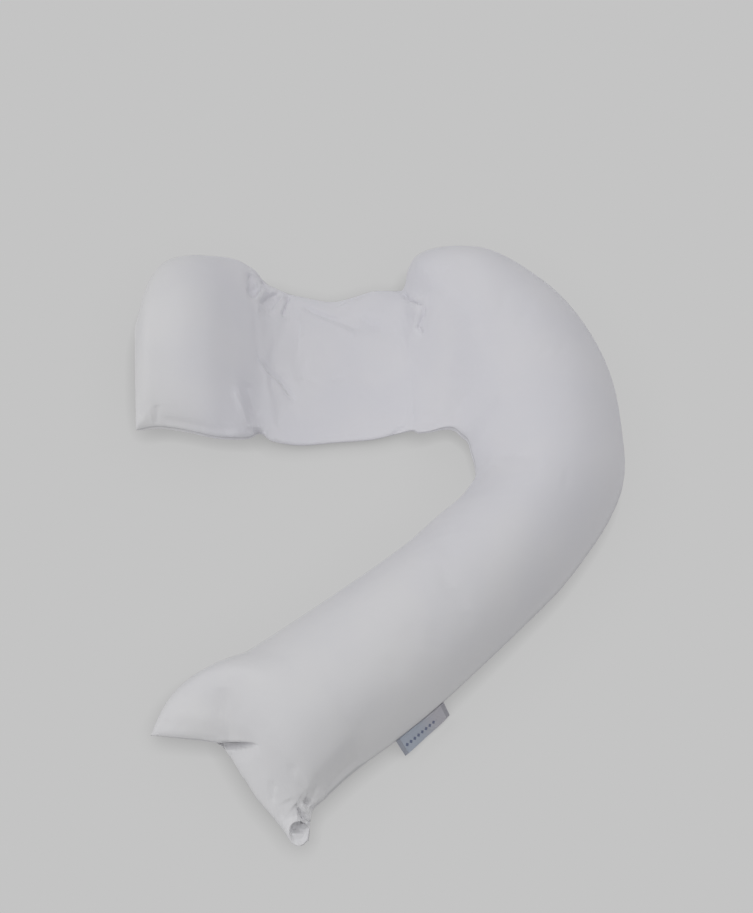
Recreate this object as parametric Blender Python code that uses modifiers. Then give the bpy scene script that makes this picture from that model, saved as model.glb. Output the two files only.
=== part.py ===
"""Body pillow: a hook-shaped cotton pillow that lies on its back.

Two sheets of cotton are sewn together round their edge and filled from inside. A back cushion and a long
curved limb are stuffed. The panel that joins them is not, so its two layers lie flat. The limb ends in a
tail with two corners, the far one curled over into an ear. A folded ribbon label stands out of the seam.

Metres, +Z up, +X along the panel from the back cushion to the limb, +Y from the tail to the back edge.
"""

import math

import bmesh
import bpy
import numpy as np

NAME = "body_pillow"

COLUMNS = 24  # faces across each sheet, seam to seam

# Roundness of a section. A sheet leaves the seam steeply and then levels off. The outer half's is in SECTIONS.
EDGE_POWER = 0.55
BELLY_POWER = 0.55
BELLY_SQUARE = 2.4
BELLY_DROP = 1.15  # over 1, so that the middle of the underside is flat on the floor

# The two closed ends, where the sheets come together along a seam.
LEFT_END_ROUND = 0.060
TAIL_END_ROUND = 0.150
MOUTH_REACH = 0.160  # how far up the limb the tail's end seam draws the cloth after it

# The tail's end seam, from its inner corner to its outer one: share of the way across, how far it is drawn
# in and how high it lies. Millimetres.
TAIL_SEAM = (
    # place, share across, drawn in, height
    ("inner corner", 0.00, 0, 14),
    ("upper lip", 0.20, 26, 26),
    ("mouth", 0.34, 44, 34),
    ("below the mouth", 0.41, 40, 17),
    ("lower lip", 0.65, 9, 10),
    ("before the ear", 0.84, -6, 14),
    ("ear", 0.93, -18, 18),
    ("end of the ear", 0.98, -16, 20),
    ("outer corner", 1.00, 0, 24),
)

# The label is a strip of ribbon folded once along its length. It hangs a little from the seam.
LABEL_LENGTH = 0.092
LABEL_WIDTH = 0.028
LABEL_THICK = 0.0014
LABEL_FROM_EAR = 0.202  # along the seam from the outer corner to the near end of its sewn side
LABEL_DROOP = (math.radians(40), math.radians(58))  # at its near end and its far one
LABEL_GAP = 0.0004  # between its sewn side and the seam
LABEL_DIVISIONS = (16, 5)

# A row for each cross-section, from the left end seam to the tail. Millimetres: inner and outer seam points
# in plan, seam height, and height of the top before its edges are rounded at a quarter, half and three
# quarters of the way from the inner seam to the outer one. Then how square the section's inner and outer
# halves are (2 is a lens, 8 a flat slab with rounded edges), how flat its outer flank is (0.55 is round, 1
# straight), and how many stations it takes to the next row.
SECTIONS = (
    # name, inner x, y, outer x, y, seam, quarter, half, three quarters, square, outer square, flank, stations
    ("left seam", -385, 165, -400, 350, 35, 100, 110, 105, 2.6, 2.6, 0.55, 5),
    ("left corner", -360, 165, -380, 435, 45, 125, 135, 125, 2.5, 2.5, 0.55, 3),
    ("cushion left", -335, 160, -350, 475, 55, 135, 145, 138, 2.4, 2.4, 0.55, 3),
    ("cushion crown", -295, 150, -310, 485, 60, 138, 150, 142, 2.4, 2.4, 0.55, 3),
    ("cushion right", -255, 140, -270, 485, 60, 126, 138, 130, 2.4, 2.4, 0.55, 3),
    ("cushion slope", -220, 140, -235, 485, 55, 94, 108, 98, 2.5, 2.5, 0.55, 3),
    ("cushion foot", -200, 150, -205, 475, 40, 70, 82, 72, 2.8, 2.8, 0.55, 3),
    ("neck", -185, 165, -190, 465, 24, 52, 62, 50, 3.4, 3.4, 0.55, 4),
    ("panel left", -160, 155, -170, 455, 12, 33, 39, 31, 5.5, 5.5, 0.55, 4),
    ("panel a", -120, 150, -125, 440, 9, 20, 24, 24, 7.5, 7.5, 0.55, 4),
    ("panel b", -65, 155, -65, 430, 9, 16, 18, 21, 8.0, 8.0, 0.55, 4),
    ("panel c", -5, 160, -5, 450, 10, 17, 20, 24, 8.0, 8.0, 0.55, 4),
    ("panel right", 40, 170, 45, 450, 14, 22, 29, 38, 6.5, 6.5, 0.55, 4),
    ("lobe foot", 60, 170, 55, 480, 24, 28, 42, 74, 4.0, 4.0, 0.55, 4),
    ("lobe rise", 70, 160, 70, 500, 36, 34, 56, 108, 3.2, 3.2, 0.55, 4),
    ("lobe left", 90, 155, 105, 505, 52, 46, 82, 138, 2.6, 2.6, 0.55, 3),
    ("lobe crown", 110, 155, 155, 500, 62, 66, 114, 156, 2.4, 2.4, 0.55, 3),
    ("elbow a", 125, 150, 200, 485, 68, 92, 142, 166, 2.3, 2.3, 0.55, 3),
    ("elbow b", 135, 140, 255, 450, 68, 118, 156, 170, 2.2, 2.2, 0.58, 3),
    ("elbow c", 145, 130, 312, 397, 66, 140, 166, 172, 2.2, 2.2, 0.62, 2),
    ("elbow d", 150, 110, 357, 326, 63, 154, 170, 172, 2.2, 2.2, 0.68, 2),
    ("elbow e", 155, 90, 385, 245, 60, 158, 172, 172, 2.2, 2.2, 0.72, 2),
    ("elbow f", 155, 70, 395, 155, 58, 160, 173, 171, 2.2, 2.2, 0.74, 2),
    ("elbow g", 145, 50, 394, 70, 56, 161, 173, 169, 2.2, 2.3, 0.76, 2),
    ("limb a", 120, 20, 370.8, 7.7, 50, 161, 173, 168, 2.3, 2.5, 0.80, 2),
    ("limb b", 85, -10, 334.3, -50.4, 46, 161, 172, 167, 2.4, 2.8, 0.88, 2),
    ("limb c", 39, -54, 284.6, -115.1, 42, 161, 172, 166, 2.5, 3.3, 0.95, 2),
    ("limb d", -17, -98, 217.4, -182.5, 36, 160, 171, 166, 2.7, 3.8, 1.00, 2),
    ("limb e", -77.5, -142.5, 156.4, -241.5, 32, 160, 170, 165, 2.9, 4.3, 1.02, 2),
    ("limb f", -133, -182, 92, -301.6, 28, 158, 169, 164, 3.1, 4.7, 1.03, 2),
    ("limb g", -193, -222, 32.1, -351.1, 26, 156, 168, 162, 3.2, 4.8, 1.03, 3),
    ("tail a", -248, -242, -26.8, -396.8, 26, 152, 164, 158, 3.1, 4.6, 1.00, 6),
    ("tail b", -286.5, -263, -69.1, -435.4, 27, 140, 152, 146, 2.8, 4.2, 0.95, 8),
    ("tail c", -315, -295, -88, -455, 29, 122, 130, 114, 2.4, 3.2, 0.80, 10),
    ("tail seam", -335, -340, -93, -497, 16, 100, 106, 80, 2.2, 2.3, 0.55, 0),
)

# Folds of the top sheet. Millimetres: path in plan, half width, height (a valley's is below zero).
FOLDS = (
    # name, path, half width, height
    ("neck crease a", ((-195, 450), (-200, 425), (-205, 395)), 9, -14),
    ("neck crease b", ((-155, 435), (-180, 400), (-200, 370)), 10, -11),
    ("neck ridge", ((-170, 445), (-190, 420), (-200, 385)), 8, 6),
    ("neck pucker", ((-135, 440), (-140, 405), (-150, 380)), 10, -6),
    ("panel back fold", ((-110, 410), (-65, 400), (-40, 430), (-25, 445)), 12, 6),
    ("panel trough", ((-115, 410), (-55, 395), (10, 370), (60, 340)), 16, -5),
    ("panel near fold", ((-190, 290), (-170, 275), (-150, 260), (-130, 235)), 12, -8),
    ("lobe crease a", ((50, 440), (70, 405), (90, 370)), 12, -15),
    ("lobe crease b", ((90, 370), (80, 355), (75, 330)), 13, -9),
    ("cushion tuck", ((-220, 220), (-210, 205), (-205, 175)), 10, 8),
    ("tuck hollow", ((-195, 180), (-185, 170), (-180, 180)), 9, -8),
    ("cushion corner", ((-345, 200), (-340, 185), (-335, 170)), 9, -7),
    ("tail crease", ((-220, -365), (-195, -370), (-165, -370)), 13, -45),
    ("tail overhang", ((-285, -325), (-240, -335), (-185, -340)), 17, 14),
    ("ear hollow", ((-108, -468), (-108, -482), (-107, -496)), 11, -14),
)


def clean_scene():
    """An empty scene in metres, with a collection of its own for the pillow."""
    for obj in list(bpy.data.objects):
        bpy.data.objects.remove(obj, do_unlink=True)
    settings = bpy.context.scene.unit_settings
    settings.system = "METRIC"
    settings.scale_length = 1.0
    collection = bpy.data.collections.new(NAME)
    bpy.context.scene.collection.children.link(collection)
    return collection


def cloth(name, color, roughness):
    material = bpy.data.materials.new(name)
    material.use_nodes = True
    surface = material.node_tree.nodes["Principled BSDF"]
    surface.inputs["Base Color"].default_value = (*color, 1.0)
    surface.inputs["Roughness"].default_value = roughness
    return material


def ease(t):
    """From 0 to 1 with no slope at either end."""
    t = np.clip(t, 0.0, 1.0)
    return t * t * (3.0 - 2.0 * t)


def smooth_rows(rows, stations):
    """The rows with smooth rows between them (a Catmull-Rom spline), `stations` from each row to the next."""
    padded = np.vstack([2 * rows[0] - rows[1], rows, 2 * rows[-1] - rows[-2]])
    found = []
    for i, count in enumerate(stations):
        before, a, b, after = padded[i : i + 4]
        for t in np.arange(count) / count:
            cubic = 3 * a - before - 3 * b + after
            square = 2 * before - 5 * a + 4 * b - after
            found.append(0.5 * (2 * a + (b - before) * t + square * t**2 + cubic * t**3))
    found.append(rows[-1])
    return np.array(found)


def crown(quarter, half, three_quarters, u):
    """Height at u, a share of the way across, from the heights at three places."""
    t = 0.5 - 0.5 * np.cos(np.pi * np.clip((u - 0.1) / 0.8, 0.0, 1.0))
    middle = 2 * half - (quarter + three_quarters) / 2
    return quarter * (1 - t) ** 2 + 2 * middle * t * (1 - t) + three_quarters * t**2


def rounded(distance, radius):
    """From 0 at an end seam to 1 where the cushion is full, as a quarter ellipse."""
    left = 1.0 - np.clip(distance / radius, 0.0, 1.0)
    return np.sqrt(1.0 - left**2)


def fold_height(x, y, path, half_width, height):
    """What a fold adds at points in plan: a smooth bank along its path, fading towards its ends."""
    ends = np.array(path, float) / 1000
    best = np.full(x.shape, np.inf)
    place = np.zeros(x.shape)
    for i in range(len(ends) - 1):
        run = ends[i + 1] - ends[i]
        share = ((x - ends[i, 0]) * run[0] + (y - ends[i, 1]) * run[1]) / (run @ run)
        share = np.clip(share, 0.0, 1.0)
        away = np.hypot(x - ends[i, 0] - share * run[0], y - ends[i, 1] - share * run[1])
        place = np.where(away < best, (i + share) / (len(ends) - 1), place)
        best = np.minimum(best, away)
    fade = 0.35 + 0.65 * np.sin(np.pi * place)
    return height / 1000 * fade * np.exp(-((best / (half_width / 1000)) ** 2))


def sheets():
    """Points of the two sheets, each (stations, columns + 1, 3), which share their points along the seam."""
    stations = [row[-1] for row in SECTIONS[:-1]]
    rows = smooth_rows(np.array([row[1:-1] for row in SECTIONS], float), stations)
    inner, outer = rows[:, 0:2] / 1000, rows[:, 2:4] / 1000
    seam, quarter, half, three_quarters = (rows[:, k : k + 1] / 1000 for k in (4, 5, 6, 7))
    square, outer_square, flank = rows[:, 8:9], rows[:, 9:10], rows[:, 10:11]
    even = np.linspace(0.0, 1.0, COLUMNS + 1)
    u = (0.5 * even + 0.5 * (0.5 - 0.5 * np.cos(np.pi * even)))[None, :]  # closer together at the seams

    # Distance along the middle from each end.
    middle = (inner + outer) / 2
    run = np.concatenate([[0.0], np.cumsum(np.hypot(*np.diff(middle, axis=0).T))])[:, None]
    to_tail = run[-1] - run

    plan = inner[:, None, :] * (1 - u[..., None]) + outer[:, None, :] * u[..., None]
    share, drawn_in, height = (np.array(column, float) for column in zip(*(row[1:] for row in TAIL_SEAM)))
    pull = 1 - ease(to_tail / MOUTH_REACH)
    side = outer[-1] - inner[-1]
    inwards = np.array([-side[1], side[0]]) / np.hypot(*side)
    plan = plan + (pull * np.interp(u, share, drawn_in / 1000))[..., None] * inwards
    seam = seam * (1 - pull) + pull * np.interp(u, share, height / 1000)

    across = np.abs(2 * u - 1)
    full = rounded(run, LEFT_END_ROUND) * rounded(to_tail, TAIL_END_ROUND)
    outer_half = u > 0.5
    edge = np.maximum(1 - across ** np.where(outer_half, outer_square, square), 0)
    edge = edge ** np.where(outer_half, flank, EDGE_POWER) * full
    top = seam + (crown(quarter, half, three_quarters, u) - seam) * edge
    for _, path, half_width, height in FOLDS:
        top = top + fold_height(plan[..., 0], plan[..., 1], path, half_width, height) * np.minimum(6 * edge, 1)
    belly = np.maximum(1 - across**BELLY_SQUARE, 0) ** BELLY_POWER * full
    bottom = seam * (1 - np.minimum(1.0, BELLY_DROP * belly))
    top = np.where(edge > 0, np.maximum(top, bottom + 0.006 * edge), seam)
    return np.dstack([plan, top]), np.dstack([plan, bottom])


def grid_object(name, points, collection, material):
    """A mesh made from a grid whose points are moved to `points` (rows, columns, 3)."""
    rows, columns = points.shape[:2]
    sheet = bmesh.new()
    bmesh.ops.create_grid(sheet, x_segments=columns - 1, y_segments=rows - 1, size=0.5)
    for vertex in sheet.verts:
        column = round((vertex.co.x + 0.5) * (columns - 1))
        row = round((vertex.co.y + 0.5) * (rows - 1))
        vertex.co = points[row, column]
    mesh = bpy.data.meshes.new(name)
    sheet.to_mesh(mesh)
    sheet.free()
    mesh.materials.append(material)
    obj = bpy.data.objects.new(name, mesh)
    collection.objects.link(obj)
    return obj


def build_pillow(collection, material):
    """The body: the two sheets joined along the seam into one closed solid."""
    top, bottom = sheets()
    pillow = grid_object("pillow", top, collection, material)
    underside = grid_object("underside", bottom, collection, material)
    body = bmesh.new()
    body.from_mesh(pillow.data)
    body.from_mesh(underside.data)
    bmesh.ops.remove_doubles(body, verts=body.verts, dist=1e-5)
    bmesh.ops.recalc_face_normals(body, faces=body.faces)
    for face in body.faces:
        face.smooth = True
    body.to_mesh(pillow.data)
    body.free()
    bpy.data.objects.remove(underside, do_unlink=True)
    return pillow, top[:, -1]


def build_label(collection, material, seam):
    """The label: a curved strip whose sewn side follows the seam, hanging outwards from it."""
    along, out = LABEL_DIVISIONS
    run = np.concatenate([[0.0], np.cumsum(np.linalg.norm(np.diff(seam, axis=0), axis=1))])
    places = run[-1] - LABEL_FROM_EAR - np.linspace(0.0, LABEL_LENGTH, along + 1)
    sewn = np.column_stack([np.interp(places, run, seam[:, axis]) for axis in range(3)])
    side = sewn[-1] - sewn[0]
    outwards = np.array([side[1], -side[0], 0.0]) / np.hypot(side[0], side[1])
    reach = np.linspace(0.0, LABEL_WIDTH, out + 1)[None, :, None]
    droop = np.linspace(*LABEL_DROOP, along + 1)[:, None, None]
    hang = outwards * np.cos(droop) - np.array([0.0, 0.0, 1.0]) * np.sin(droop)
    clear = LABEL_GAP + LABEL_THICK / 2 * np.sin(droop)
    points = sewn[:, None, :] + outwards * clear + hang * reach
    label = grid_object("label", points, collection, material)
    thickness = label.modifiers.new("ribbon", "SOLIDIFY")
    thickness.thickness = LABEL_THICK
    thickness.offset = 0.0
    return label


def centre_on_floor(objects):
    """The origin at the middle of the object's box in plan, on the floor."""
    bpy.context.view_layer.update()
    corners = []
    for obj in objects:
        solid = obj.evaluated_get(bpy.context.evaluated_depsgraph_get())
        corners += [tuple(corner) for corner in solid.bound_box]
    low, high = np.min(corners, axis=0), np.max(corners, axis=0)
    shift = np.array([-(low[0] + high[0]) / 2, -(low[1] + high[1]) / 2, -low[2]])
    for obj in objects:
        for vertex in obj.data.vertices:
            vertex.co = np.array(vertex.co) + shift


def main():
    collection = clean_scene()
    cotton = cloth("white_cotton", (0.80, 0.80, 0.82), 0.9)
    ribbon = cloth("grey_ribbon", (0.50, 0.51, 0.60), 0.6)
    pillow, outer_seam = build_pillow(collection, cotton)
    label = build_label(collection, ribbon, outer_seam)
    centre_on_floor([pillow, label])


main()
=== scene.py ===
import math

import bmesh
import bpy
import numpy as np
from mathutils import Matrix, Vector
from mathutils.kdtree import KDTree


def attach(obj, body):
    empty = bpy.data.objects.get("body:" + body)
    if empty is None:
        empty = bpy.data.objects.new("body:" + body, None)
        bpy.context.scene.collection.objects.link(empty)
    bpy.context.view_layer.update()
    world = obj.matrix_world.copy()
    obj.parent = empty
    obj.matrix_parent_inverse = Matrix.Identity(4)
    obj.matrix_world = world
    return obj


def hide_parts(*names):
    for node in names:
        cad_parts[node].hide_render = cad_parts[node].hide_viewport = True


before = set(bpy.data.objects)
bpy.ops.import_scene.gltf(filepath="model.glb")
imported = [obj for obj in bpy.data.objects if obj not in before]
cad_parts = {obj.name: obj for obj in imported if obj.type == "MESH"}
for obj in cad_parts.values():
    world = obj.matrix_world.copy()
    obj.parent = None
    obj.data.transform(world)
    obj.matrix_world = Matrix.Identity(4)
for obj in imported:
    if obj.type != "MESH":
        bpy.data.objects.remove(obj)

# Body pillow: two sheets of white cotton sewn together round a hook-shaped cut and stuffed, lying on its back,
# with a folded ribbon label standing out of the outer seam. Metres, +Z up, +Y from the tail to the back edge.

for spare in ("Cube", "Camera", "Light"):
    if spare in bpy.data.objects:
        bpy.data.objects.remove(bpy.data.objects[spare], do_unlink=True)
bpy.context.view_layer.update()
scene = bpy.context.scene

# ---------------------------------------------------------------------------------------------------------
# The cut: where the seam runs and how high the filled pillow stands. Millimetres.

COLUMNS = 36  # faces across each sheet, seam to seam
FACE_LENGTH = 0.0100  # longest face along the pillow, before the cloth is rounded off
PLACE = (0.001713, 0.000958, 0.0)  # from the pattern's own origin to the middle of the floor under the pillow

# How round a section is: its upper edge and its underside. The outer half's is in SECTIONS.
EDGE_POWER = 0.55
BELLY_POWER = 0.55
BELLY_SQUARE = 2.4
BELLY_DROP = 1.15  # over 1, so that the middle of the underside is flat on the floor
LEAST_FILLING = 0.006  # between the two sheets where the panel is empty

# The two closed ends, in metres.
LEFT_END_ROUND = 0.060
TAIL_END_ROUND = 0.150
MOUTH_REACH = 0.160  # how far up the limb the tail's end seam draws the cloth after it

# The tail's end seam, from its inner corner to its outer one.
TAIL_SEAM = (
    # place, share across, drawn in, height
    ("inner corner", 0.00, 0, 14),
    ("upper lip", 0.20, 26, 26),
    ("mouth", 0.34, 44, 34),
    ("below the mouth", 0.41, 40, 17),
    ("lower lip", 0.65, 9, 10),
    ("before the ear", 0.84, -6, 14),
    ("ear", 0.93, -18, 18),
    ("end of the ear", 0.98, -16, 20),
    ("outer corner", 1.00, 0, 24),
)

# Cross-sections from the left end to the tail: the seam's two points in plan, its height, the top's height at
# three places across, how square the two halves are, how flat the outer flank is, and the faces to the next.
SECTIONS = (
    # name, inner x, y, outer x, y, seam, quarter, half, three quarters, square, outer square, flank, faces
    ("left seam", -385, 165, -400, 350, 35, 100, 110, 105, 2.6, 2.6, 0.55, 10),
    ("left corner", -360, 165, -380, 435, 45, 125, 135, 125, 2.5, 2.5, 0.55, 6),
    ("cushion left", -335, 160, -350, 475, 55, 135, 145, 138, 2.4, 2.4, 0.55, 6),
    ("cushion crown", -295, 150, -310, 485, 60, 138, 150, 142, 2.4, 2.4, 0.55, 6),
    ("cushion right", -255, 140, -270, 485, 60, 126, 138, 130, 2.4, 2.4, 0.55, 6),
    ("cushion slope", -220, 140, -235, 485, 55, 94, 108, 98, 2.5, 2.5, 0.55, 6),
    ("cushion foot", -200, 150, -205, 475, 40, 70, 82, 72, 2.8, 2.8, 0.55, 6),
    ("neck", -185, 165, -190, 465, 24, 52, 62, 50, 3.4, 3.4, 0.55, 8),
    ("panel left", -160, 155, -170, 455, 12, 33, 39, 31, 5.5, 5.5, 0.55, 8),
    ("panel a", -120, 150, -125, 440, 9, 20, 24, 24, 7.5, 7.5, 0.55, 8),
    ("panel b", -65, 155, -65, 430, 9, 16, 18, 21, 8.0, 8.0, 0.55, 8),
    ("panel c", -5, 160, -5, 450, 10, 17, 20, 24, 8.0, 8.0, 0.55, 8),
    ("panel right", 40, 170, 45, 450, 14, 22, 29, 38, 6.5, 6.5, 0.55, 8),
    ("lobe foot", 60, 170, 55, 480, 24, 28, 42, 74, 4.0, 4.0, 0.55, 8),
    ("lobe rise", 70, 160, 70, 500, 36, 34, 56, 108, 3.2, 3.2, 0.55, 8),
    ("lobe left", 90, 155, 105, 505, 52, 46, 82, 138, 2.6, 2.6, 0.55, 6),
    ("lobe crown", 110, 155, 155, 500, 62, 66, 114, 156, 2.4, 2.4, 0.55, 6),
    ("elbow a", 125, 150, 200, 485, 68, 92, 142, 166, 2.3, 2.3, 0.55, 6),
    ("elbow b", 135, 140, 255, 450, 68, 118, 156, 170, 2.2, 2.2, 0.58, 6),
    ("elbow c", 145, 130, 312, 397, 66, 140, 166, 172, 2.2, 2.2, 0.62, 4),
    ("elbow d", 150, 110, 357, 326, 63, 154, 170, 172, 2.2, 2.2, 0.68, 4),
    ("elbow e", 155, 90, 385, 245, 60, 158, 172, 172, 2.2, 2.2, 0.72, 4),
    ("elbow f", 155, 70, 395, 155, 58, 160, 173, 171, 2.2, 2.2, 0.74, 4),
    ("elbow g", 145, 50, 394, 70, 56, 161, 173, 169, 2.2, 2.3, 0.76, 4),
    ("limb a", 120, 20, 370.8, 7.7, 50, 161, 173, 168, 2.3, 2.5, 0.80, 4),
    ("limb b", 85, -10, 334.3, -50.4, 46, 161, 172, 167, 2.4, 2.8, 0.88, 4),
    ("limb c", 39, -54, 284.6, -115.1, 42, 161, 172, 166, 2.5, 3.3, 0.95, 4),
    ("limb d", -17, -98, 217.4, -182.5, 36, 160, 171, 166, 2.7, 3.8, 1.00, 4),
    ("limb e", -77.5, -142.5, 156.4, -241.5, 32, 160, 170, 165, 2.9, 4.3, 1.02, 4),
    ("limb f", -133, -182, 92, -301.6, 28, 158, 169, 164, 3.1, 4.7, 1.03, 4),
    ("limb g", -193, -222, 32.1, -351.1, 26, 156, 168, 162, 3.2, 4.8, 1.03, 6),
    ("tail a", -248, -242, -26.8, -396.8, 26, 152, 164, 158, 3.1, 4.6, 1.00, 8),
    ("tail b", -286.5, -263, -69.1, -435.4, 27, 140, 152, 146, 2.8, 4.2, 0.95, 10),
    ("tail c", -315, -295, -88, -455, 29, 122, 130, 114, 2.4, 3.2, 0.80, 12),
    ("tail seam", -335, -340, -93, -497, 16, 100, 106, 80, 2.2, 2.3, 0.55, 0),
)

BROAD_FOLDS = (
    # name, path, half width, height
    ("neck crease a", ((-195, 450), (-200, 425), (-205, 395)), 9, -14),
    ("neck crease b", ((-155, 435), (-180, 400), (-200, 370)), 10, -11),
    ("neck ridge", ((-170, 445), (-190, 420), (-200, 385)), 8, 6),
    ("neck pucker", ((-135, 440), (-140, 405), (-150, 380)), 10, -6),
    ("panel back fold", ((-110, 410), (-65, 400), (-40, 430), (-25, 445)), 12, 6),
    ("panel trough", ((-115, 410), (-55, 395), (10, 370), (60, 340)), 16, -5),
    ("panel near fold", ((-190, 290), (-170, 275), (-150, 260), (-130, 235)), 12, -8),
    ("lobe crease a", ((50, 440), (70, 405), (90, 370)), 12, -15),
    ("lobe crease b", ((90, 370), (80, 355), (75, 330)), 13, -9),
    ("cushion tuck", ((-220, 220), (-210, 205), (-205, 175)), 10, 8),
    ("tail crease", ((-224, -368), (-198, -371), (-172, -377)), 12, -18),
    ("tail overhang", ((-285, -325), (-240, -340), (-195, -350)), 15, 8),
)


def ease(t):
    """From 0 to 1 with no slope at either end."""
    t = np.clip(t, 0.0, 1.0)
    return t * t * (3.0 - 2.0 * t)


def smooth_rows(rows, stations):
    """The rows with smooth rows between them, `stations` from each row to the next."""
    padded = np.vstack([2 * rows[0] - rows[1], rows, 2 * rows[-1] - rows[-2]])
    found = []
    for i, count in enumerate(stations):
        before, a, b, after = padded[i : i + 4]
        for t in np.arange(count) / count:
            cubic = 3 * a - before - 3 * b + after
            square = 2 * before - 5 * a + 4 * b - after
            found.append(0.5 * (2 * a + (b - before) * t + square * t**2 + cubic * t**3))
    found.append(rows[-1])
    return np.array(found)


def crown(quarter, half, three_quarters, u):
    """Height at u, a share of the way across, from the heights at three places."""
    t = 0.5 - 0.5 * np.cos(np.pi * np.clip((u - 0.1) / 0.8, 0.0, 1.0))
    middle = 2 * half - (quarter + three_quarters) / 2
    return quarter * (1 - t) ** 2 + 2 * middle * t * (1 - t) + three_quarters * t**2


def rounded(distance, radius):
    """From 0 at an end seam to 1 where the cushion is full, as a quarter ellipse."""
    left = 1.0 - np.clip(distance / radius, 0.0, 1.0)
    return np.sqrt(1.0 - left**2)


def along_path(x, y, path):
    """How far points in plan are from a path, how far along it they are (0 to 1), and on which side (-1 or 1)."""
    ends = np.array(path, float) / 1000
    best = np.full(x.shape, np.inf)
    place = np.zeros(x.shape)
    side = np.ones(x.shape)
    for i in range(len(ends) - 1):
        run = ends[i + 1] - ends[i]
        share = ((x - ends[i, 0]) * run[0] + (y - ends[i, 1]) * run[1]) / (run @ run)
        share = np.clip(share, 0.0, 1.0)
        off_x, off_y = x - ends[i, 0] - share * run[0], y - ends[i, 1] - share * run[1]
        away = np.hypot(off_x, off_y)
        nearer = away < best
        place = np.where(nearer, (i + share) / (len(ends) - 1), place)
        side = np.where(nearer, np.sign(run[0] * off_y - run[1] * off_x), side)
        best = np.where(nearer, away, best)
    return best, place, side


def fold_height(x, y, path, half_width, height):
    """What a broad fold adds at points in plan: a smooth bank along its path, fading towards its ends."""
    away, place, _ = along_path(x, y, path)
    fade = 0.35 + 0.65 * np.sin(np.pi * place)
    return height / 1000 * fade * np.exp(-((away / (half_width / 1000)) ** 2))


def run_along(points, axis):
    """Length from the first point, along one direction of a grid of points."""
    steps = np.linalg.norm(np.diff(points, axis=axis), axis=-1)
    start = np.zeros_like(np.take(steps, [0], axis=axis))
    return np.cumsum(np.concatenate([start, steps], axis=axis), axis=axis)


def cut_sheets():
    """The filled pillow's two sheets, upper and lower, as grids of points that share their rim."""
    table = np.array([row[1:-1] for row in SECTIONS], float)
    inner_steps, outer_steps = (np.hypot(*np.diff(table[:, k : k + 2], axis=0).T) for k in (0, 2))
    steps = np.maximum(inner_steps, outer_steps)
    stations = [max(row[-1], math.ceil(step / 1000 / FACE_LENGTH)) for row, step in zip(SECTIONS, steps)]
    rows = smooth_rows(table, stations)
    inner, outer = rows[:, 0:2] / 1000, rows[:, 2:4] / 1000
    seam, quarter, half, three_quarters = (rows[:, k : k + 1] / 1000 for k in (4, 5, 6, 7))
    square, outer_square, flank = rows[:, 8:9], rows[:, 9:10], rows[:, 10:11]
    even = np.linspace(0.0, 1.0, COLUMNS + 1)
    u = (0.5 * even + 0.5 * (0.5 - 0.5 * np.cos(np.pi * even)))[None, :]  # closer together at the seams

    middle = (inner + outer) / 2
    run = run_along(middle, 0)[:, None]
    to_tail = run[-1] - run
    plan = inner[:, None, :] * (1 - u[..., None]) + outer[:, None, :] * u[..., None]
    share, drawn_in, height = (np.array(column, float) for column in zip(*(row[1:] for row in TAIL_SEAM)))
    pull = 1 - ease(to_tail / MOUTH_REACH)
    side = outer[-1] - inner[-1]
    inwards = np.array([-side[1], side[0]]) / np.hypot(*side)
    plan = plan + (pull * np.interp(u, share, drawn_in / 1000))[..., None] * inwards
    seam = seam * (1 - pull) + pull * np.interp(u, share, height / 1000)

    across = np.abs(2 * u - 1)
    full = rounded(run, LEFT_END_ROUND) * rounded(to_tail, TAIL_END_ROUND)
    outer_half = u > 0.5
    edge = np.maximum(1 - across ** np.where(outer_half, outer_square, square), 0)
    edge = edge ** np.where(outer_half, flank, EDGE_POWER) * full
    top = seam + (crown(quarter, half, three_quarters, u) - seam) * edge
    for _, path, half_width, fold in BROAD_FOLDS:
        top = top + fold_height(plan[..., 0], plan[..., 1], path, half_width, fold) * np.minimum(6 * edge, 1)
    belly = np.maximum(1 - across**BELLY_SQUARE, 0) ** BELLY_POWER * full
    bottom = seam * (1 - np.minimum(1.0, BELLY_DROP * belly))
    top = np.where(edge > 0, np.maximum(top, bottom + LEAST_FILLING * edge), seam)
    top, bottom = (np.dstack([plan, height]) + PLACE for height in (top, bottom))
    return top, bottom


# ---------------------------------------------------------------------------------------------------------
# Sewing and stuffing.

PRESSURE = 4.0
FRAMES = 20
SLACK = 0.004  # how much smaller than its filled shape the cloth starts
MOST_SWELL = 0.008  # how far the filling may push any point
HELD_BESIDE_SEAM = 0.015

FINE_CLOTH = (
    # where the cloth has small folds: low corner, high corner (x, y in millimetres), which sheet, cuts
    ("neck", (-214, 384), (-136, 470), 1, 3),
    ("panel creases", (-130, 340), (30, 460), 1, 1),
    ("near diagonal", (-205, 222), (-120, 298), 1, 1),
    ("front corner", (-226, 150), (-150, 222), 0, 1),
    ("lobe creases", (42, 326), (90, 450), 1, 3),
    ("cushion corner", (-385, 155), (-325, 190), 0, 1),
    ("cushion front", (-325, 125), (-200, 172), 1, 1),
    ("mouth of the tail", (-246, -402), (-150, -322), 0, 3),
    ("ear", (-142, -520), (-70, -432), 0, 3),
)


def flat_pattern(points, aside):
    """Where each point of a sheet lies on its flat pattern, which is `aside` metres to the right."""
    across = run_along(points, 1)
    middle = points.shape[1] // 2
    heading = points[:, -1, :2] - points[:, 0, :2]
    heading /= np.linalg.norm(heading, axis=1)[:, None]
    flat = points[:, middle, None, :2] + heading[:, None, :] * (across - across[:, middle, None])[..., None]
    return flat + (aside, 0.0)


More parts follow.
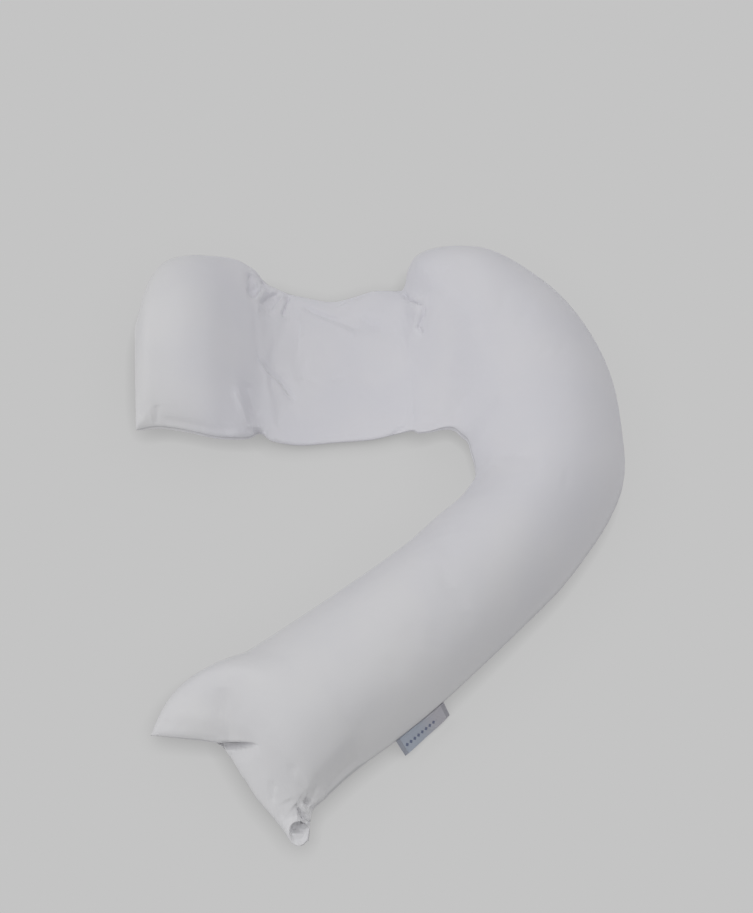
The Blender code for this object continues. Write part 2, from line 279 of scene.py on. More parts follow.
def grid_mesh(points, flat, sheet):
    """A sheet of cloth made from a grid whose points are moved to `points` (rows, columns, 3). Its attributes
    say how far the cloth runs from the seam and which sheet it is, and its UV map is its flat pattern."""
    rows, columns = points.shape[:2]
    across = run_along(points, 1)
    reach = np.minimum(across, across[:, -1:] - across)
    along = run_along(points, 0)
    reach = np.minimum(reach, np.minimum(along, along[-1:] - along))
    cloth = bmesh.new()
    uv = cloth.loops.layers.uv.new("pattern")
    from_seam = cloth.verts.layers.float.new("from_seam")
    which = cloth.verts.layers.float.new("sheet")
    bmesh.ops.create_grid(cloth, x_segments=columns - 1, y_segments=rows - 1, size=0.5)
    for vertex in cloth.verts:
        column = round((vertex.co.x + 0.5) * (columns - 1))
        row = round((vertex.co.y + 0.5) * (rows - 1))
        vertex.co = points[row, column]
        vertex[from_seam] = reach[row, column]
        vertex[which] = sheet if reach[row, column] > 0 else 0.0
        for loop in vertex.link_loops:
            loop[uv].uv = flat[row, column]
    mesh = bpy.data.meshes.new("sheet")
    cloth.to_mesh(mesh)
    cloth.free()
    return mesh


def sew_sheets(name):
    """The two sheets joined along their rim into one closed body."""
    body = bmesh.new()
    for points, sheet in zip(cut_sheets(), (1.0, -1.0)):
        mesh = grid_mesh(points, flat_pattern(points, 0.0 if sheet > 0 else 1.0), sheet)
        body.from_mesh(mesh)
        bpy.data.meshes.remove(mesh)
    bmesh.ops.remove_doubles(body, verts=body.verts, dist=1e-5)
    bmesh.ops.recalc_face_normals(body, faces=body.faces)
    mesh = bpy.data.meshes.new(name)
    body.to_mesh(mesh)
    body.free()
    pillow = bpy.data.objects.new(name, mesh)
    scene.collection.objects.link(pillow)
    return pillow


def points_of(mesh):
    co = np.empty(len(mesh.vertices) * 3, np.float32)
    mesh.vertices.foreach_get("co", co)
    return co.reshape(-1, 3).astype(float)


def move_points(mesh, points):
    mesh.vertices.foreach_set("co", np.ascontiguousarray(points, np.float32).ravel())
    mesh.update()


def normals_of(mesh):
    found = np.empty(len(mesh.vertices) * 3, np.float32)
    mesh.vertex_normals.foreach_get("vector", found)
    return found.reshape(-1, 3).astype(float)


def attribute(mesh, name):
    found = np.empty(len(mesh.vertices), np.float32)
    mesh.attributes[name].data.foreach_get("value", found)
    return found.astype(float)


def applied(obj):
    """Replaces the object's mesh with what its modifiers make of it."""
    graph = bpy.context.evaluated_depsgraph_get()
    finished = obj.evaluated_get(graph)
    made = bpy.data.meshes.new_from_object(finished, preserve_all_data_layers=True, depsgraph=graph)
    old = obj.data
    obj.modifiers.clear()
    obj.data = made
    bpy.data.meshes.remove(old)


def stuff(pillow):
    """Fills the cloth: it starts a little slack and is blown up with its seam held."""
    mesh = pillow.data
    filled, normals, reach = points_of(mesh), normals_of(mesh), attribute(mesh, "from_seam")
    thick = ease((filled[:, 2] - 0.02) / 0.06) * ease(reach / 0.03)
    start = filled - normals * (SLACK * thick)[:, None]
    start[:, 2] = np.maximum(start[:, 2], 0.0)
    move_points(mesh, start)
    held = pillow.vertex_groups.new(name="held")
    filling = pillow.vertex_groups.new(name="filling")
    on_floor = filled[:, 2] < 0.001
    hold = np.maximum(1 - ease((reach - 0.002) / HELD_BESIDE_SEAM), on_floor * 0.9)
    for index in range(len(filled)):
        held.add([index], float(hold[index]), "REPLACE")
        filling.add([index], float(0.1 + 0.9 * thick[index]), "REPLACE")
    cloth = pillow.modifiers.new("filling", "CLOTH")
    settings = cloth.settings
    settings.quality = 5
    settings.mass = 0.2
    settings.tension_stiffness = settings.compression_stiffness = 15
    settings.bending_stiffness = 0.5
    settings.vertex_group_mass = "held"
    settings.use_pressure = True
    settings.uniform_pressure_force = PRESSURE
    settings.vertex_group_pressure = "filling"
    settings.effector_weights.gravity = 0
    cloth.point_cache.frame_start, cloth.point_cache.frame_end = 1, FRAMES
    scene.frame_start, scene.frame_end = 1, FRAMES
    for number in range(1, FRAMES + 1):
        scene.frame_set(number)
    graph = bpy.context.evaluated_depsgraph_get()
    blown = points_of(pillow.evaluated_get(graph).data)
    pillow.modifiers.clear()
    pillow.vertex_groups.clear()
    moved = blown - start
    length = np.linalg.norm(moved, axis=1)
    allowed = MOST_SWELL * (0.15 + 0.85 * thick)
    moved *= np.minimum(1.0, allowed / np.maximum(length, 1e-9))[:, None]
    points = start + moved
    points[:, 2] = np.maximum(points[:, 2], 0.0)
    points[on_floor, 2] = 0.0
    move_points(mesh, points)
    scene.frame_set(1)


def refine(pillow):
    """Halves the faces where the cloth has small folds, and rounds the whole body off once."""
    body = bmesh.new()
    body.from_mesh(pillow.data)
    which = body.verts.layers.float["sheet"]
    for cuts in (1, 3):
        edges = set()
        for face in body.faces:
            centre = face.calc_center_median() * 1000
            side = max((vertex[which] for vertex in face.verts), key=abs)
            for _, low, high, sheet, asked in FINE_CLOTH:
                inside = low[0] < centre.x < high[0] and low[1] < centre.y < high[1]
                if asked == cuts and inside and (sheet == 0 or side * sheet > 0):
                    edges.update(face.edges)
        bmesh.ops.subdivide_edges(body, edges=list(edges), cuts=cuts, use_grid_fill=True)
    body.to_mesh(pillow.data)
    body.free()
    rounding = pillow.modifiers.new("rounding", "SUBSURF")
    rounding.levels = rounding.render_levels = 1
    applied(pillow)


# ---------------------------------------------------------------------------------------------------------
# Folds, creases and the seam, put into the stuffed cloth. The tables are in millimetres.

CREASES = (
    # name, path, half width to its left and to its right, height
    ("neck gather a", ((-205, 460), (-203, 444), (-201, 424), (-203, 408)), 5, 6, -9),
    ("neck wedge", ((-187, 460), (-181, 449), (-174, 436)), 4, 4, -8),
    ("neck gather b", ((-162, 441), (-175, 421), (-187, 400)), 4.5, 5, -9),
    ("neck gather c", ((-143, 444), (-147, 416), (-152, 391)), 3.5, 4.5, -7),
    ("ridge between a and b", ((-193, 446), (-189, 425), (-196, 402)), 5, 5, 5),
    ("ridge between b and c", ((-154, 438), (-161, 418), (-171, 398)), 5, 5, 4),
    ("neck fall", ((-128, 385), (-125, 350), (-128, 315)), 5, 10, -2),
    ("panel crease from the neck", ((-122, 415), (-93, 400), (-76, 392), (-60, 388)), 5, 5, -5),
    ("panel crease on to the lobe", ((-68, 390), (-45, 378), (-25, 369)), 6, 8, -3),
    ("short panel crease", ((-22, 387), (-3, 378), (14, 371)), 5, 6, -2.5),
    ("back edge tuck", ((-62, 415), (-50, 424), (-38, 430), (-15, 441)), 4, 5, -3.5),
    ("panel highlight", ((-62, 374), (-45, 364), (-30, 355)), 7, 7, 2),
    ("neck highlight", ((-127, 392), (-122, 370), (-123, 350)), 4, 4, 2),
    ("near diagonal", ((-188, 288), (-170, 275), (-154, 266), (-143, 251), (-130, 232)), 3.5, 4, -5),
    ("near diagonal bank", ((-175, 268), (-160, 258), (-148, 240)), 7, 7, 2.5),
    ("panel nick a", ((-120, 275), (-105, 270), (-88, 261)), 4, 5, -2),
    ("panel nick b", ((-74, 272), (-62, 277), (-50, 276)), 4, 5, -2),
    ("tuck ridge", ((-223, 210), (-214, 193), (-208, 179), (-204, 163)), 6, 6, 3.5),
    ("tuck slope", ((-204, 235), (-196, 212), (-188, 190)), 12, 12, -4),
    ("tuck fold", ((-203, 162), (-196, 167), (-188, 172), (-181, 174)), 3, 3, 4),
    ("tuck pit", ((-192, 161), (-184, 166), (-177, 163)), 6, 6, -5),
    ("front corner rim", ((-180, 172), (-174, 166), (-168, 160), (-160, 156)), 3, 3, 5),
    ("lobe crease a", ((47, 442), (56, 409), (68, 391), (79, 378)), 3, 3, -6),
    ("lobe crease b", ((79, 378), (81, 363), (72, 347), (79, 333)), 3, 3, -5),
    ("lobe dimple", ((112, 419), (118, 414)), 8, 8, -2),
    ("cushion corner b", ((-357, 184), (-355, 177), (-353, 168)), 5, 5, 1.5),
    ("cushion corner c", ((-345, 184), (-345, 177), (-346, 168)), 7, 7, -2.2),
    ("panel front notch", ((50, 182), (40, 176), (30, 170)), 3, 4, -3),
    ("limb dash", ((292, 30), (290, 15), (286, 0)), 5, 5, -1.2),
    ("tail wrinkle a", ((-142, -424), (-146, -436), (-146, -448)), 4, 5, -2.5),
    ("tail wrinkle b", ((-120, -412), (-108, -415)), 5, 5, -2),
    ("tail wrinkle c", ((-80, -415), (-83, -432), (-88, -445)), 6, 6, -5),
    ("tail wrinkle d", ((-55, -415), (-66, -428), (-76, -440)), 6, 6, 2),
    ("ear diagonal", ((-110, -450), (-105, -458), (-99, -465), (-92, -473)), 4, 9, -5),
    ("ear crease", ((-108, -453), (-102, -461), (-97, -467), (-92, -472)), 3, 3, -6),
    ("ear diagonal bank", ((-103, -450), (-96, -460), (-89, -470)), 4, 4, 3),
    ("ear roll", ((-121, -444), (-117, -456), (-112, -470)), 7, 14, -3),
    ("tail ridge", ((-30, -362), (-52, -384), (-71, -403), (-87, -421), (-98, -434)), 10, 22, 7),
    ("tail flank", ((-12, -378), (-34, -400), (-54, -419), (-72, -436)), 16, 14, -9),
    ("ear pit", ((-99, -447), (-90, -451)), 6, 5, -11),
)

BESIDE_SEAM = (
    # where the cloth rolls beside the seam: low corner, high corner, distance from the seam, half width, height
    ("cushion front rim", (-355, 120), (-205, 185), 6.5, 3.8, 1.8),
    ("cushion front groove", (-345, 120), (-210, 185), 17, 7, -1.6),
    ("panel front rim", (-165, 120), (40, 190), 7, 5, 1.2),
)

PUSH = (-0.0625, 0.2910, -0.9547)  # the slanting way in, along which the tail's cloth is pushed
UNDER = (-0.06, 0.53, -0.846)  # a way in that runs further under the cloth behind it
PUSH_LEVEL = 0.030

MOUTH = (
    # where it lies on the level PUSH_LEVEL: x, upper lip's edge y, lower lip's edge y; depth
    (-234, -352.0, -366.0, 0),
    (-228, -352.4, -365.8, 8),
    (-221, -352.8, -365.2, 18),
    (-211, -353.4, -363.8, 27),
    (-199, -354.0, -362.8, 31),
    (-188, -354.6, -361.8, 28),
    (-178, -355.4, -360.6, 16),
    (-168, -357.0, -358.4, 0),
)
LIP_LIFT = 0.004  # how far the upper lip stands up
LIP_DEEP = 0.007  # and how far behind its edge that fades

CUP_MIDDLE = (-0.1065, -0.4885)  # of the ear's hollow, on the level PUSH_LEVEL
CUP_ACROSS, CUP_UP, CUP_DEEP = 0.0140, 0.0170, 0.021
CUP_SQUARE = 2.6  # 2 is an ellipse
EAR_RIM = 0.0015  # how far the cloth stands up round the hollow

SEAM_CHANNEL = 0.0013
PUCKER_DEEP = 0.0016
PUCKER_FADE = 0.011  # how far from the seam the puckers die away


def crease(points, normals, amount, path, left, right, height):
    """Moves points along their normals by a crease's height: sharp along its path and fading at its ends."""
    away, place, side = along_path(points[:, 0], points[:, 1], path)
    width = np.where(side > 0, left, right) / 1000
    fade = ease(np.minimum(place, 1 - place) / 0.3 + 0.35)
    return points + normals * (amount * height / 1000 * fade * np.exp(-((away / width) ** 1.5)))[:, None]


def roll(points, normals, amount, reach, low, high, distance, half_width, height):
    """Raises or lowers a band of cloth that follows the seam at a distance, between two corners in plan."""
    low, high = np.array(low) / 1000, np.array(high) / 1000
    inside = np.minimum(points[:, :2] - low, high - points[:, :2])
    fade = ease(inside[:, 0] / 0.020) * ease(inside[:, 1] / 0.003)
    band = np.exp(-(((reach - distance / 1000) / (half_width / 1000)) ** 2))
    return points + normals * (amount * fade * band * height / 1000)[:, None]


def on_level(points):
    """Where lines along PUSH through the points meet the level PUSH_LEVEL."""
    drop = (points[:, 2] - PUSH_LEVEL) / PUSH[2]
    return points[:, 0] - drop * PUSH[0], points[:, 1] - drop * PUSH[1]


def open_mouth(points, sheet):
    """Pushes a pocket in between the tail's lips and lifts the upper one a little."""
    x, y = on_level(points)
    place, upper, lower, deep = (np.array(column) / 1000 for column in zip(*MOUTH))
    upper, lower, deep = (np.interp(x, place, column) for column in (upper, lower, deep))
    inside = (x > place[0]) & (x < place[-1]) & (sheet > -0.5) & (np.abs(points[:, 1] + 0.36) < 0.06)
    share = (y - lower) / np.maximum(upper - lower, 1e-4)
    pocket = ease(np.minimum(share, 1 - share) / 0.42) * inside * deep
    over = y - upper
    lift = np.where(over > 0, np.exp(-np.maximum(over, 0) / LIP_DEEP), 0.0) * (sheet > -0.5)
    lift *= LIP_LIFT * ease((x + 0.330) / 0.06) * ease((-0.172 - x) / 0.03)
    return points + np.array(UNDER) * pocket[:, None] - np.array(PUSH) * lift[:, None]


def cup_ear(points, sheet):
    """Pushes the ear's end in: deep under its upper edge, with a shallow shelf in front."""
    x, y = on_level(points)
    across, up = (x - CUP_MIDDLE[0]) / CUP_ACROSS, (y - CUP_MIDDLE[1]) / CUP_UP
    away = (np.abs(across) ** CUP_SQUARE + np.abs(up) ** CUP_SQUARE) ** (1 / CUP_SQUARE)
    shelf = 0.30 + 0.70 * ease((up + 0.14) / 0.26)
    cup = CUP_DEEP * ease((1 - away) / 0.36) * shelf
    rim = EAR_RIM * np.exp(-(((away - 1.10) / 0.14) ** 2))
    front = ((sheet > -0.5) & (y < -0.44))[:, None]
    return points + front * (np.array(UNDER) * cup[:, None] - np.array(PUSH) * rim[:, None])


def settle(points, mesh, low, high, rounds):
    """Evens the cloth out between two corners in plan, so that its small folds have smooth sides."""
    edges = np.empty(len(mesh.edges) * 2, np.int64)
    mesh.edges.foreach_get("vertices", edges)
    edges = edges.reshape(-1, 2)
    near = np.all((points[:, :2] > low) & (points[:, :2] < high), axis=1)
    edges = edges[near[edges].all(axis=1)]
    joined = np.bincount(edges.ravel(), minlength=len(points))[:, None]
    points = points.copy()
    for _ in range(rounds):
        around = np.zeros_like(points)
        np.add.at(around, edges[:, 0], points[edges[:, 1]])
        np.add.at(around, edges[:, 1], points[edges[:, 0]])
        weight = 0.5 * (near[:, None] & (joined > 3))
        points += weight * (around / np.maximum(joined, 1) - points)
    return points


def clear_of_underside(points, sheet, low, high):
    """Keeps the upper sheet a little above the underside between two corners in plan. Folds made after it can
    still reach through."""
    near = np.all((points[:, :2] > low) & (points[:, :2] < high), axis=1)
    under = np.nonzero(near & (sheet < -0.01))[0]
    tree = KDTree(len(under))
    for index in under:
        tree.insert((points[index, 0], points[index, 1], 0.0), int(index))
    tree.balance()
    points = points.copy()
    for index in np.nonzero(near & (sheet > 0.01))[0]:
        below = tree.find((points[index, 0], points[index, 1], 0.0))[1]
        points[index, 2] = max(points[index, 2], points[below, 2] + 0.002 * min(1.0, 4 * sheet[index]))
    return points


def ring_along_seam(mesh, reach):
    """The seam's points in order, and how far along it each is."""
    on_seam = set(np.nonzero(reach < 2e-4)[0].tolist())
    beside = {}
    for edge in mesh.edges:
        a, b = edge.vertices
        if a in on_seam and b in on_seam:
            beside.setdefault(a, []).append(b)
            beside.setdefault(b, []).append(a)
    first = min(beside)
    ring, last = [first], None
    while True:
        onward = [index for index in beside[ring[-1]] if index != last]
        last = ring[-1]
        if not onward or onward[0] == first and len(ring) > 2:
            break
        ring.append(onward[0])
    return ring


def pucker_seam(points, normals, sheet, reach, mesh):
    """The seam lies in a narrow channel, and the cloth beside it is gathered into small uneven puckers."""
    ring = ring_along_seam(mesh, reach)
    line = points[ring]
    run = np.concatenate([[0.0], np.cumsum(np.linalg.norm(np.diff(line, axis=0), axis=1))])
    tree = KDTree(len(ring))
    for index, point in enumerate(line):
        tree.insert(point, index)
    tree.balance()
    near = np.nonzero(reach < 0.05)[0]
    place = np.array([run[tree.find(points[index])[1]] for index in near])
    phase = np.where(sheet[near] < 0, 2.1, 0.0)
    wave = (
        0.5 * np.sin(place * 2 * np.pi / 0.0231 + phase)
        + 0.35 * np.sin(place * 2 * np.pi / 0.0137 + 1.3 * phase + 4 * np.sin(place * 9.0))
        + 0.25 * np.sin(place * 2 * np.pi / 0.051 + phase)
    )
    gather = np.maximum(wave - 0.15, 0) * (0.6 + 0.4 * np.sin(place * 11.0 + phase))
    rise = np.exp(-reach[near] / PUCKER_FADE) * ease(reach[near] / 0.004)
    move = -PUCKER_DEEP * gather * rise - SEAM_CHANNEL * np.exp(-((reach[near] / 0.003) ** 2))
    points = points.copy()
    points[near] += normals[near] * move[:, None]
    return points


def dress(pillow):
    """The folds put into the stuffed cloth, in order: mouth, ear, creases, the bands beside the seam, then the
    seam itself.
    """
    mesh = pillow.data
    sheet, reach = attribute(mesh, "sheet"), attribute(mesh, "from_seam")
    points = points_of(mesh)
    top = np.clip(sheet * 4, 0, 1)
    points = open_mouth(points, sheet)
    points = cup_ear(points, sheet)
    points = clear_of_underside(points, sheet, (-0.25, -0.52), (-0.07, -0.32))
    points = settle(points, mesh, (-0.245, -0.400), (-0.150, -0.330), 3)
    points = settle(points, mesh, (-0.140, -0.520), (-0.075, -0.440), 2)
    move_points(mesh, points)
    normals = normals_of(mesh)
    for _, path, left, right, height in CREASES:
        points = crease(points, normals, top * ease(reach / 0.004), path, left, right, height)
    for _, low, high, distance, half_width, height in BESIDE_SEAM:
        points = roll(points, normals, top, reach, low, high, distance, half_width, height)
    points = pucker_seam(points, normals, sheet, reach, mesh)
    points[:, 2] = np.maximum(points[:, 2], 0.0)
    move_points(mesh, points)


def make_pillow():
    pillow = sew_sheets("pillow_body")
    stuff(pillow)
    refine(pillow)
    dress(pillow)
    for polygon in pillow.data.polygons:
        polygon.use_smooth = True
    return pillow


# ---------------------------------------------------------------------------------------------------------
# Finishes.


class Value:
    """A number that changes over a surface. Sums and products of values add their Math nodes."""

    def __init__(self, shading, socket):
        self.shading, self.socket = shading, socket

    def maths(self, operation, *values):
        return self.shading.node("ShaderNodeMath", {"operation": operation}, values)

    def __add__(self, other):
        return self.maths("ADD", self, other)

    def __sub__(self, other):
        return self.maths("SUBTRACT", self, other)

    def __rsub__(self, other):
        return self.maths("SUBTRACT", other, self)

    def __mul__(self, other):
        return self.maths("MULTIPLY", self, other)

    def __truediv__(self, other):
        return self.maths("DIVIDE", self, other)

    def __pow__(self, other):
        return self.maths("POWER", self, other)

    __radd__, __rmul__ = __add__, __mul__

    def sine(self):
        return self.maths("SINE", self)

    def absolute(self):
        return self.maths("ABSOLUTE", self)

    def share(self):
        """Its fractional part."""
        return self.maths("FRACT", self)

    def least(self, other):
        return self.maths("MINIMUM", self, other)

    def most(self, other):
        return self.maths("MAXIMUM", self, other)

    def step(self, low, high):
        """0 below low and 1 above high, eased between them. The two may be the other way round."""
        settings = {"interpolation_type": "SMOOTHSTEP"}
        values = {"Value": self, "From Min": min(low, high), "From Max": max(low, high)}
        found = self.shading.node("ShaderNodeMapRange", settings, values)
        return found if low < high else 1 - found


class Shading:
    """A node tree that values are built in."""

    def __init__(self, tree):
        self.tree = tree

    def node(self, kind, settings=None, values=(), output=0):
        """Adds a node with its settings, then its sockets' values or links, and gives one of its outputs."""
        made = self.tree.nodes.new(kind)
        for name, value in (settings or {}).items():
            setattr(made, name, value)
        for name, value in values.items() if isinstance(values, dict) else enumerate(values):
            if isinstance(value, Value):
                self.tree.links.new(value.socket, made.inputs[name])
            else:
                made.inputs[name].default_value = value
        return Value(self, made.outputs[output])


class Finish(Shading):
    """A procedural material with one Principled shader. `constants` are set on the shader's own sockets."""

    def __init__(self, name, **constants):
        self.material = bpy.data.materials.new(name)
        self.material.use_nodes = True
        super().__init__(self.material.node_tree)
        self.shader = self.tree.nodes["Principled BSDF"]
        for socket, value in constants.items():
            self.shader.inputs[socket.replace("_", " ")].default_value = value

    def noise(self, place, scale, detail=2.0, roughness=0.5):
        settings = {"noise_dimensions": "3D"}
        values = {"Vector": place, "Scale": scale, "Detail": detail, "Roughness": roughness}
        return self.node("ShaderNodeTexNoise", settings, values)

    def stretched(self, place, scale):
        return self.node("ShaderNodeVectorMath", {"operation": "MULTIPLY"}, [place, scale])

    def mixed(self, share, first, second):
        """A colour between two colours, each a value or (red, green, blue)."""
        first, second = ((*c, 1.0) if isinstance(c, tuple) else c for c in (first, second))
        values = {0: share, 6: first, 7: second}
        return self.node("ShaderNodeMix", {"data_type": "RGBA"}, values, output=2)

    def raised(self, height, distance, below=None):
        """A bump of that height in metres, on top of another bump."""
        values = {"Height": height, "Distance": distance}
        if below is not None:
            values["Normal"] = below
        return self.node("ShaderNodeBump", {}, values)

    def put(self, socket, value):
        self.tree.links.new(value.socket, self.shader.inputs[socket])


THREAD = 0.0007  # from one thread of the cotton to the next
RIBBON_RIB = 0.0006
LOZENGE, LOZENGE_HALF = 0.0075, 0.0042  # length of one lozenge, and half its width
SHADED_COOL_WHITES = ((0.777, 0.773, 0.822), (0.799, 0.793, 0.832))  # painted shade: cooler, darker whites at the back and the right
LIT_WARM_WHITES = ((0.810, 0.808, 0.828), (0.832, 0.829, 0.842))  # painted light: warmer, lighter whites at the left and the tail
# painted shade: the grey that darkens the cotton just beside the seam
SEAM_SHADE_GREY = (0.42, 0.42, 0.44)
RIBBON_GREY, RIBBON_BLUE = (0.540, 0.530, 0.580), (0.455, 0.500, 0.585)
HEM_GREY, LOZENGE_BLUE = (0.300, 0.300, 0.340), (0.090, 0.115, 0.220)


def white_cotton():
    """Plain white cotton: a fine weave along the cloth's own pattern, soft slubs and faint creases. Its colour
    holds painted light and shade: lighter and warmer at the left end and the tail, darker and cooler at the back
    and the right, and a painted grey shade line beside the seam.
    """
    cotton = Finish("white_cotton_weave", Roughness=0.92, Sheen_Weight=0.12, Sheen_Roughness=0.5)
    pattern = cotton.node("ShaderNodeUVMap", {"uv_map": "pattern"})
    u = cotton.node("ShaderNodeSeparateXYZ", {}, [pattern])
    v = cotton.node("ShaderNodeSeparateXYZ", {}, [pattern], output=1)
    weave = (u * (math.pi / THREAD)).sine() * (v * (math.pi / THREAD)).sine()
    warp_slubs = cotton.noise(cotton.stretched(pattern, (900.0, 45.0, 1.0)), 1.0)
    weft_slubs = cotton.noise(cotton.stretched(pattern, (45.0, 900.0, 1.0)), 1.0)
    where = cotton.node("ShaderNodeTexCoord", output=3)
    soft = cotton.noise(where, 26.0, detail=3.0, roughness=0.55)
    patchy = cotton.noise(where, 9.0, detail=2.0)
    side = cotton.node("ShaderNodeSeparateXYZ", {}, [where])
    depth = cotton.node("ShaderNodeSeparateXYZ", {}, [where], output=1)
    # painted light: 1 at the left end and the tail, which get the lighter whites, 0 at the back and the right,
    # which get the darker ones
    ends = (1 - side.step(-0.38, -0.22)).most(1 - depth.step(-0.45, 0.15))
    patchy = patchy.step(0.3, 0.7)
    painted_shade_white = cotton.mixed(patchy, *SHADED_COOL_WHITES)
    painted_lit_white = cotton.mixed(patchy, *LIT_WARM_WHITES)
    from_seam = cotton.node("ShaderNodeAttribute", {"attribute_name": "from_seam"}, {}, output=2)
    # painted shade: a thin grey line where the cloth turns into the seam
    painted_seam_shade = 1 - from_seam.step(0.0006, 0.0042)
    # painted light and shade: darker, cooler whites at the back and the right, lighter, warmer ones at the left
    # end and the tail
    cloth = cotton.mixed(ends, painted_shade_white, painted_lit_white)
    cotton.put("Base Color", cotton.mixed(painted_seam_shade * 0.45, cloth, SEAM_SHADE_GREY))
    creases = cotton.raised(soft, 0.0008)
    cotton.put("Normal", cotton.raised(weave * 0.5 + warp_slubs + weft_slubs, 0.00006, creases))
    return cotton.material


def grey_ribbon():
    """Satin ribbon, bluer towards its near end, with turned-in ends and a plain row of woven lozenges."""
    ribbon = Finish("grey_ribbon_satin", Roughness=0.45, Sheen_Weight=0.10)
    pattern = ribbon.node("ShaderNodeUVMap", {"uv_map": "pattern"})
    u = ribbon.node("ShaderNodeSeparateXYZ", {}, [pattern])
    v = ribbon.node("ShaderNodeSeparateXYZ", {}, [pattern], output=1)
    from_end = u.least(LABEL_LENGTH - u)
    turned_in = 1 - from_end.step(0.0055, 0.0070)
    blue = 1 - u.step(0.030, 0.075)
    cell = ((u / LOZENGE).share() - 0.5).absolute() * 2
    middle = ((v - 0.55 * LABEL_WIDTH) / LOZENGE_HALF).absolute()
    in_row = 1 - (u - LABEL_LENGTH * 0.42).absolute().step(0.030, 0.031)
    lozenge = (1 - (cell + middle).step(0.72, 0.88)) * in_row
    base = ribbon.mixed(blue, RIBBON_GREY, RIBBON_BLUE)
    base = ribbon.mixed(turned_in * 0.55, base, HEM_GREY)
    base = ribbon.mixed(lozenge * 0.8, base, LOZENGE_BLUE)
    ribbon.put("Base Color", base)
    ribbon.put("Roughness", 0.44 + 0.18 * lozenge + 0.10 * turned_in)
    weft = (v * (2 * math.pi / RIBBON_RIB)).sine()
    warp = ribbon.noise(ribbon.stretched(pattern, (120.0, 2600.0, 1.0)), 1.0)
    selvedge = 1 - (v - 0.0008).absolute().step(0.0006, 0.0012)
    hem = turned_in * 1.4 - (from_end - 0.0062).absolute().step(0.0008, 0.0003) * 0.8
    woven = ribbon.raised(weft * 0.4 + warp * 0.8 + lozenge * 1.2 + selvedge, 0.00008)
    ribbon.put("Normal", ribbon.raised(hem, 0.00035, woven))
    return ribbon.material


# The label: a ribbon folded once along its length.
LABEL_LENGTH = 0.092
LABEL_WIDTH = 0.028
LABEL_THICK = 0.0014  # both layers and the air between them
LABEL_FROM_EAR = 0.202  # along the seam from the outer corner to the near end of its sewn side
LABEL_DROOP = (math.radians(40), math.radians(58))  # at its near end and its far one
LABEL_FACES = (14, 6, 60)  # across each layer, round the fold, along its length
LABEL_GAP = 0.0004  # between its sewn side and the seam
SEAM_INSIDE = 0.0021  # how far the finished seam lies inside the edge of the pattern
RIBBON_THICK = 0.00045
RIBBON_WAVE = 0.0007  # how far the loose edge waves


def make_label():
    """A ribbon folded once along its length: both sides go back to the seam, with the fold standing out."""
    top, _ = cut_sheets()
    seam = top[:, -1]
    run = run_along(seam, 0)
    columns, turns, rows = LABEL_FACES
    places = run[-1] - LABEL_FROM_EAR - np.linspace(0.0, LABEL_LENGTH, rows + 1)
    sewn = np.column_stack([np.interp(places, run, seam[:, axis]) for axis in range(3)])
    side = sewn[-1] - sewn[0]
    outwards = np.array([side[1], -side[0], 0.0]) / np.hypot(side[0], side[1])
    droop = np.linspace(*LABEL_DROOP, rows + 1)[:, None]
    hang = outwards * np.cos(droop) - np.array([0.0, 0.0, 1.0]) * np.sin(droop)
    square = outwards * np.sin(droop) + np.array([0.0, 0.0, 1.0]) * np.cos(droop)
    half = (LABEL_THICK - RIBBON_THICK) / 2
    reach = LABEL_WIDTH - LABEL_THICK / 2
    turn = np.linspace(0.0, np.pi, turns + 1)[1:-1]
    there, back = np.linspace(0, reach, columns), np.linspace(reach, 0, columns)
    out = np.concatenate([there, reach + half * np.sin(turn), back])
    lift = np.concatenate([np.full(columns, half), half * np.cos(turn), np.full(columns, -half)])
    start = sewn + outwards * (LABEL_GAP - SEAM_INSIDE + LABEL_THICK / 2 * np.sin(droop))
    along = np.linspace(0.0, 1.0, rows + 1)[:, None, None]
    wave = RIBBON_WAVE * (out / reach)[None, :, None] ** 2 * np.sin(2 * np.pi * 1.4 * along + 0.6)
    points = start[:, None, :] + hang[:, None, :] * out[None, :, None]
    points = points + square[:, None, :] * (lift[None, :, None] + wave)
    width = run_along(points, 1)
    length = LABEL_LENGTH * np.broadcast_to(along[..., 0], width.shape)
    mesh = grid_mesh(points, np.dstack([length, width]), 1.0)
    label = bpy.data.objects.new("folded_label", mesh)
    scene.collection.objects.link(label)
    thickness = label.modifiers.new("ribbon", "SOLIDIFY")
    thickness.thickness = RIBBON_THICK
    thickness.offset = 0.0
    for polygon in mesh.polygons:
        polygon.use_smooth = True
    return label


label = make_label()
label.data.materials.clear()
label.data.materials.append(grey_ribbon())
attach(label, "root")
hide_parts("label")

pillow = make_pillow()
pillow.data.materials.clear()
pillow.data.materials.append(white_cotton())
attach(pillow, "root")
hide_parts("pillow")

# ---------------------------------------------------------------------------------------------------------
# Floor, light and camera.

FLOOR_TONE = 0.552  # the floor glows evenly, and its shade is part of its finish
FLOOR_SHADE = (
    # how far the shade reaches, where the light that the pillow shuts out comes from, strength
    (0.03, (-1.0, 0.3, 0.7), 0.35),
    (0.12, (-0.90, 0.0, 0.30), 0.07),
)
ROOM_LEVEL = 0.66
ROOM_LIGHT = (
    # degrees round from +X, degrees up, sharpness, how much brighter
    (307, 5, 3, -0.90),
    (90, 10, 4, -0.66),
    (205, 15, 8, 0.14),
    (0, 90, 3, 0.43),
)


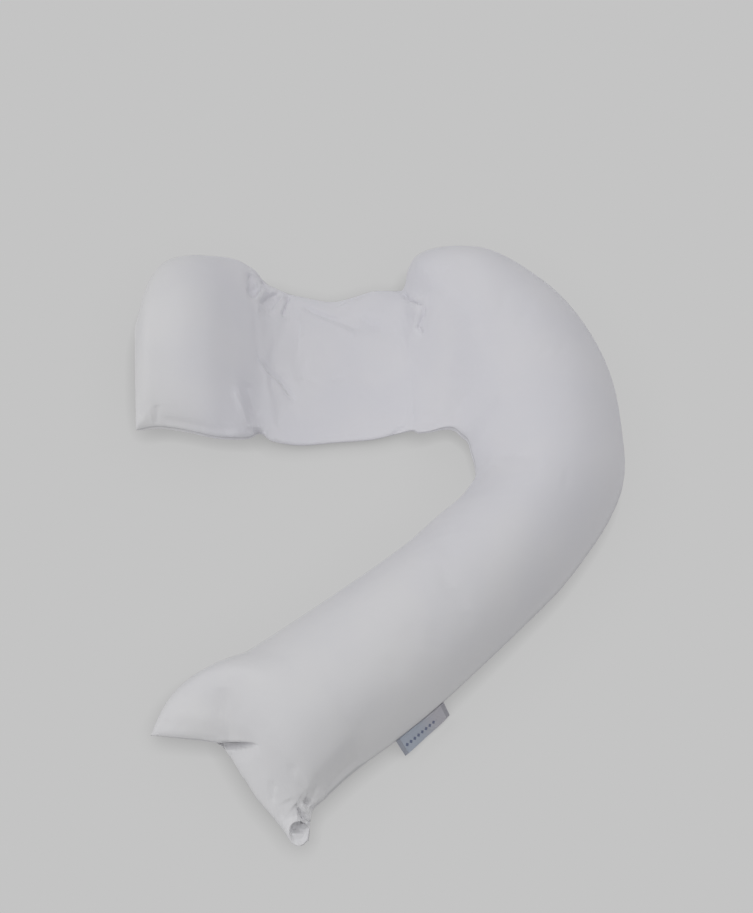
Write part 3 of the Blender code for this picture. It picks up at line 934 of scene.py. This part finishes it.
def make_floor():
    """A plain pale floor that glows, with the pillow's soft shade on it."""
    base = bmesh.new()
    bmesh.ops.create_grid(base, x_segments=1, y_segments=1, size=6.0)
    bmesh.ops.translate(base, verts=base.verts, vec=(0, 0, -0.0005))
    mesh = bpy.data.meshes.new("floor")
    base.to_mesh(mesh)
    base.free()
    floor = bpy.data.objects.new("floor", mesh)
    scene.collection.objects.link(floor)
    paint = bpy.data.materials.new("floor_paper")
    paint.use_nodes = True
    paper = Shading(paint.node_tree)
    paper.tree.nodes.clear()
    shade = 1.0
    for reach, where, strength in FLOOR_SHADE:
        lean = tuple(Vector(where).normalized())
        given = {"Distance": reach, "Normal": lean}
        open_share = paper.node("ShaderNodeAmbientOcclusion", {"samples": 16}, given, output=1)
        shade = shade - (1 - open_share) * strength
    glow = paper.node("ShaderNodeEmission", {}, {"Color": (1.0, 1.0, 1.0, 1.0), "Strength": shade * FLOOR_TONE})
    out = paper.tree.nodes.new("ShaderNodeOutputMaterial")
    paper.tree.links.new(glow.socket, out.inputs["Surface"])
    mesh.materials.append(paint)


def towards(turn, height):
    """A direction, from degrees round from +X towards +Y and degrees above the floor."""
    turn, height = math.radians(turn), math.radians(height)
    return (math.cos(turn) * math.cos(height), math.sin(turn) * math.cos(height), math.sin(height))


def make_light():
    """A white room that is brightest overhead and darker low down at the front right and the back."""
    world = bpy.data.worlds.new("studio")
    scene.world = world
    world.use_nodes = True
    room = Shading(world.node_tree)
    room.tree.nodes.clear()
    where = room.node("ShaderNodeTexCoord")
    level = ROOM_LEVEL
    for turn, height, sharpness, brighter in ROOM_LIGHT:
        values = [where, towards(turn, height)]
        facing = room.node("ShaderNodeVectorMath", {"operation": "DOT_PRODUCT"}, values, output=1)
        level = level + facing.most(0.0) ** sharpness * brighter
    glow = room.node("ShaderNodeBackground", {}, {"Color": (1.0, 1.0, 1.0, 1.0), "Strength": level.most(0.02)})
    out = room.tree.nodes.new("ShaderNodeOutputWorld")
    room.tree.links.new(glow.socket, out.inputs["Surface"])


def make_camera():
    data = bpy.data.cameras.new("camera")
    data.lens = 67.17
    data.sensor_width = 36.0
    camera = bpy.data.objects.new("camera", data)
    camera.location = (0.0042, -1.1556, 2.4339)
    camera.rotation_euler = (math.radians(28.0), 0.0, 0.0)
    scene.collection.objects.link(camera)
    scene.camera = camera


make_floor()
make_light()
make_camera()
scene.view_settings.view_transform = "Standard"
